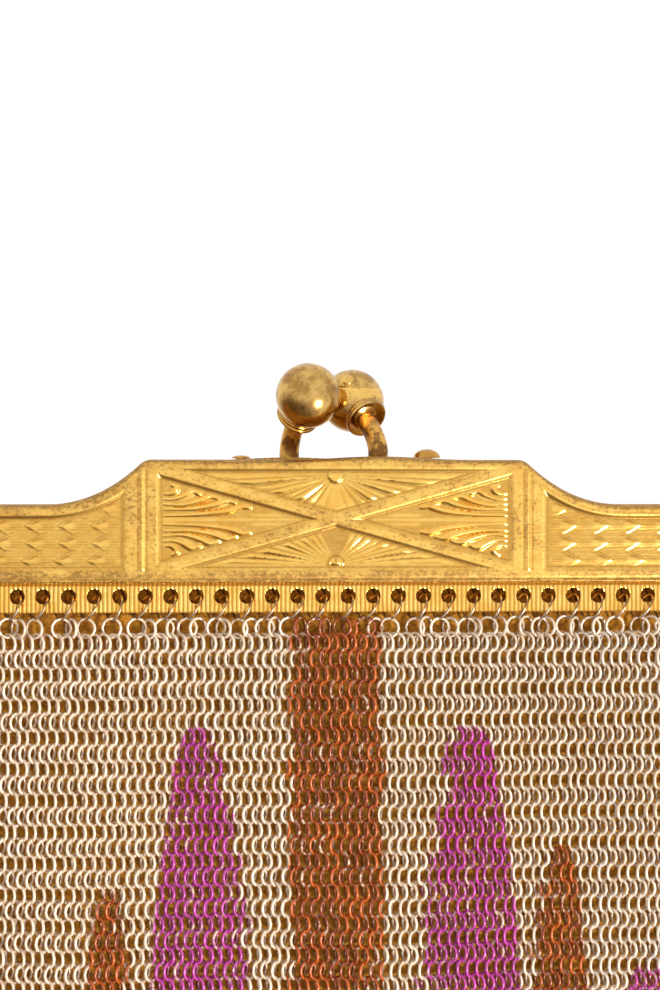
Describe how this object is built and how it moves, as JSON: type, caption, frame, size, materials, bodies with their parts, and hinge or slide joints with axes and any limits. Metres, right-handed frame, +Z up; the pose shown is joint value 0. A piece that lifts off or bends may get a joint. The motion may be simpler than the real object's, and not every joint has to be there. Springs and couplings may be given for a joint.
{
  "type": "metal mesh purse",
  "caption": "Hanging ring-mesh purse with a stamped gilt frame, crossed ball kiss lock, pierced rails and a cloth lining.",
  "frame": {"origin": "middle of the closed frame's top, on the plane where its two halves meet", "axes": "+Z up as the purse hangs, +X to the right along the frame, -Y out of the front"},
  "size_m": [0.1216, 0.0156, 0.1588],
  "materials": {
    "gilt_brass": "gilt, rubbed and browned on the raised edges",
    "rail_brass": "gilt, finely reeded",
    "aged_brass": "polished, spotted with brown",
    "painted_rings": "enamelled wire in cream, rust orange and magenta, worn",
    "ring_wire": "bare wire, slightly browned",
    "lining_cloth": "woven golden-brown silk"
  },
  "bodies": {
    "root": {"front_frame": "gilt_brass", "back_frame": "gilt_brass", "front_mesh_rail": "rail_brass", "back_mesh_rail": "rail_brass", "front_clasp_knob": "aged_brass", "back_clasp_knob": "aged_brass", "front_knob_rivet": "aged_brass", "back_knob_rivet": "aged_brass", "right_hinge_pin": "aged_brass", "left_hinge_pin": "aged_brass", "mesh_bag": "painted_rings", "lining": "lining_cloth"}
  },
  "joints": []
}
